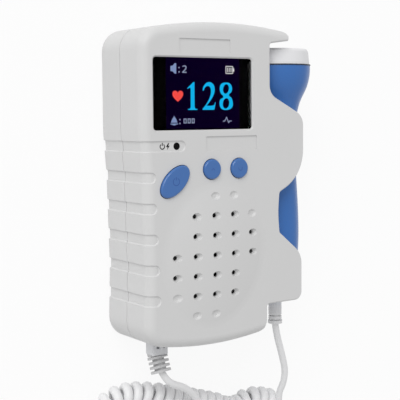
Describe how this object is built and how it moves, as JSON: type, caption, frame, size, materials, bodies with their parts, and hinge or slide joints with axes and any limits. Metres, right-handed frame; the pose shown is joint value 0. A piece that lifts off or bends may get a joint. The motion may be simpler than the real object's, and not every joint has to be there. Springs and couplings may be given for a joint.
{
  "type": "fetal doppler monitor",
  "caption": "Hand-held fetal doppler: cased unit with colour screen, speaker grille and blue buttons, and a docked ultrasound probe on a curly cord.",
  "frame": {"origin": "centre of the footprint of the case with its docked probe, at the height of the flat back it lies on", "axes": "+Z out of the front face, +Y along the case towards the screen end, +X towards the side that carries the probe"},
  "size_m": [0.1059, 0.1843, 0.0368],
  "materials": {
    "case_front": "fine matt moulded",
    "case_rear": "fine matt moulded",
    "battery_door": "fine matt moulded",
    "screen_window": "clear acrylic, polished",
    "display_module": "glass-faced panel",
    "light_lens": "dark translucent lens",
    "button_blue": "satin moulded",
    "switches": "matt",
    "circuit_board": "solder mask",
    "chips": "matt epoxy",
    "speaker_frame": "black coated steel",
    "speaker_cone": "pressed paper",
    "cell_sleeve": "printed foil sleeve, bare",
    "contacts": "nickel plated spring steel",
    "screws": "zinc plated",
    "socket": "matt",
    "probe_blue": "satin moulded",
    "probe_seam": "matt",
    "probe_cap": "satin moulded",
    "transducer": "ceramic with silver faces",
    "transducer_backing": "filled epoxy",
    "strain_relief": "soft vinyl",
    "plug": "clear-grey moulded",
    "plug_contacts": "gilt",
    "plug_boot": "soft vinyl",
    "cord": "soft vinyl jacket"
  },
  "bodies": {
    "unit": {"front_shell": "case_front", "rear_shell": "case_rear", "screen_window": "screen_window", "display_module": "display_module", "status_light": "light_lens", "key_switches": "switches", "main_board": "circuit_board", "board_chips": "chips", "speaker_frame": "speaker_frame", "speaker_cone": "speaker_cone", "battery_cells": "cell_sleeve", "battery_contacts": "contacts", "case_screws": "screws", "cord_socket": "socket", "plug_body": "plug", "plug_contacts": "plug_contacts", "plug_boot": "plug_boot", "plug_lead": "cord", "cord_coil": "cord"},
    "power_button": {"power_button": "button_blue"},
    "round_button_left": {"round_button_left": "button_blue"},
    "round_button_right": {"round_button_right": "button_blue"},
    "battery_door": {"battery_door": "battery_door"},
    "probe": {"probe_housing": "probe_blue", "probe_seam_ring": "probe_seam", "probe_head_cap": "probe_cap", "transducer_discs": "transducer", "transducer_backing": "transducer_backing", "probe_strain_relief": "strain_relief", "probe_lead": "cord"}
  },
  "joints": [
    {"name": "power_press", "type": "slide", "parent": "unit", "child": "power_button", "axis": [0, 0, -1], "range_m": [0, 0.0008], "stiffness_N_per_m": 1500, "springref_m": -0.0002},
    {"name": "left_press", "type": "slide", "parent": "unit", "child": "round_button_left", "axis": [0, 0, -1], "range_m": [0, 0.0008], "stiffness_N_per_m": 1500, "springref_m": -0.0002},
    {"name": "right_press", "type": "slide", "parent": "unit", "child": "round_button_right", "axis": [0, 0, -1], "range_m": [0, 0.0008], "stiffness_N_per_m": 1500, "springref_m": -0.0002},
    {"name": "battery_door_slide", "type": "slide", "parent": "unit", "child": "battery_door", "axis": [0, -1, 0], "range_m": [0, 0.012]},
    {"name": "probe_undock", "type": "slide", "parent": "unit", "child": "probe", "axis": [1, 0, 0], "range_m": [0, 0.05]}
  ]
}
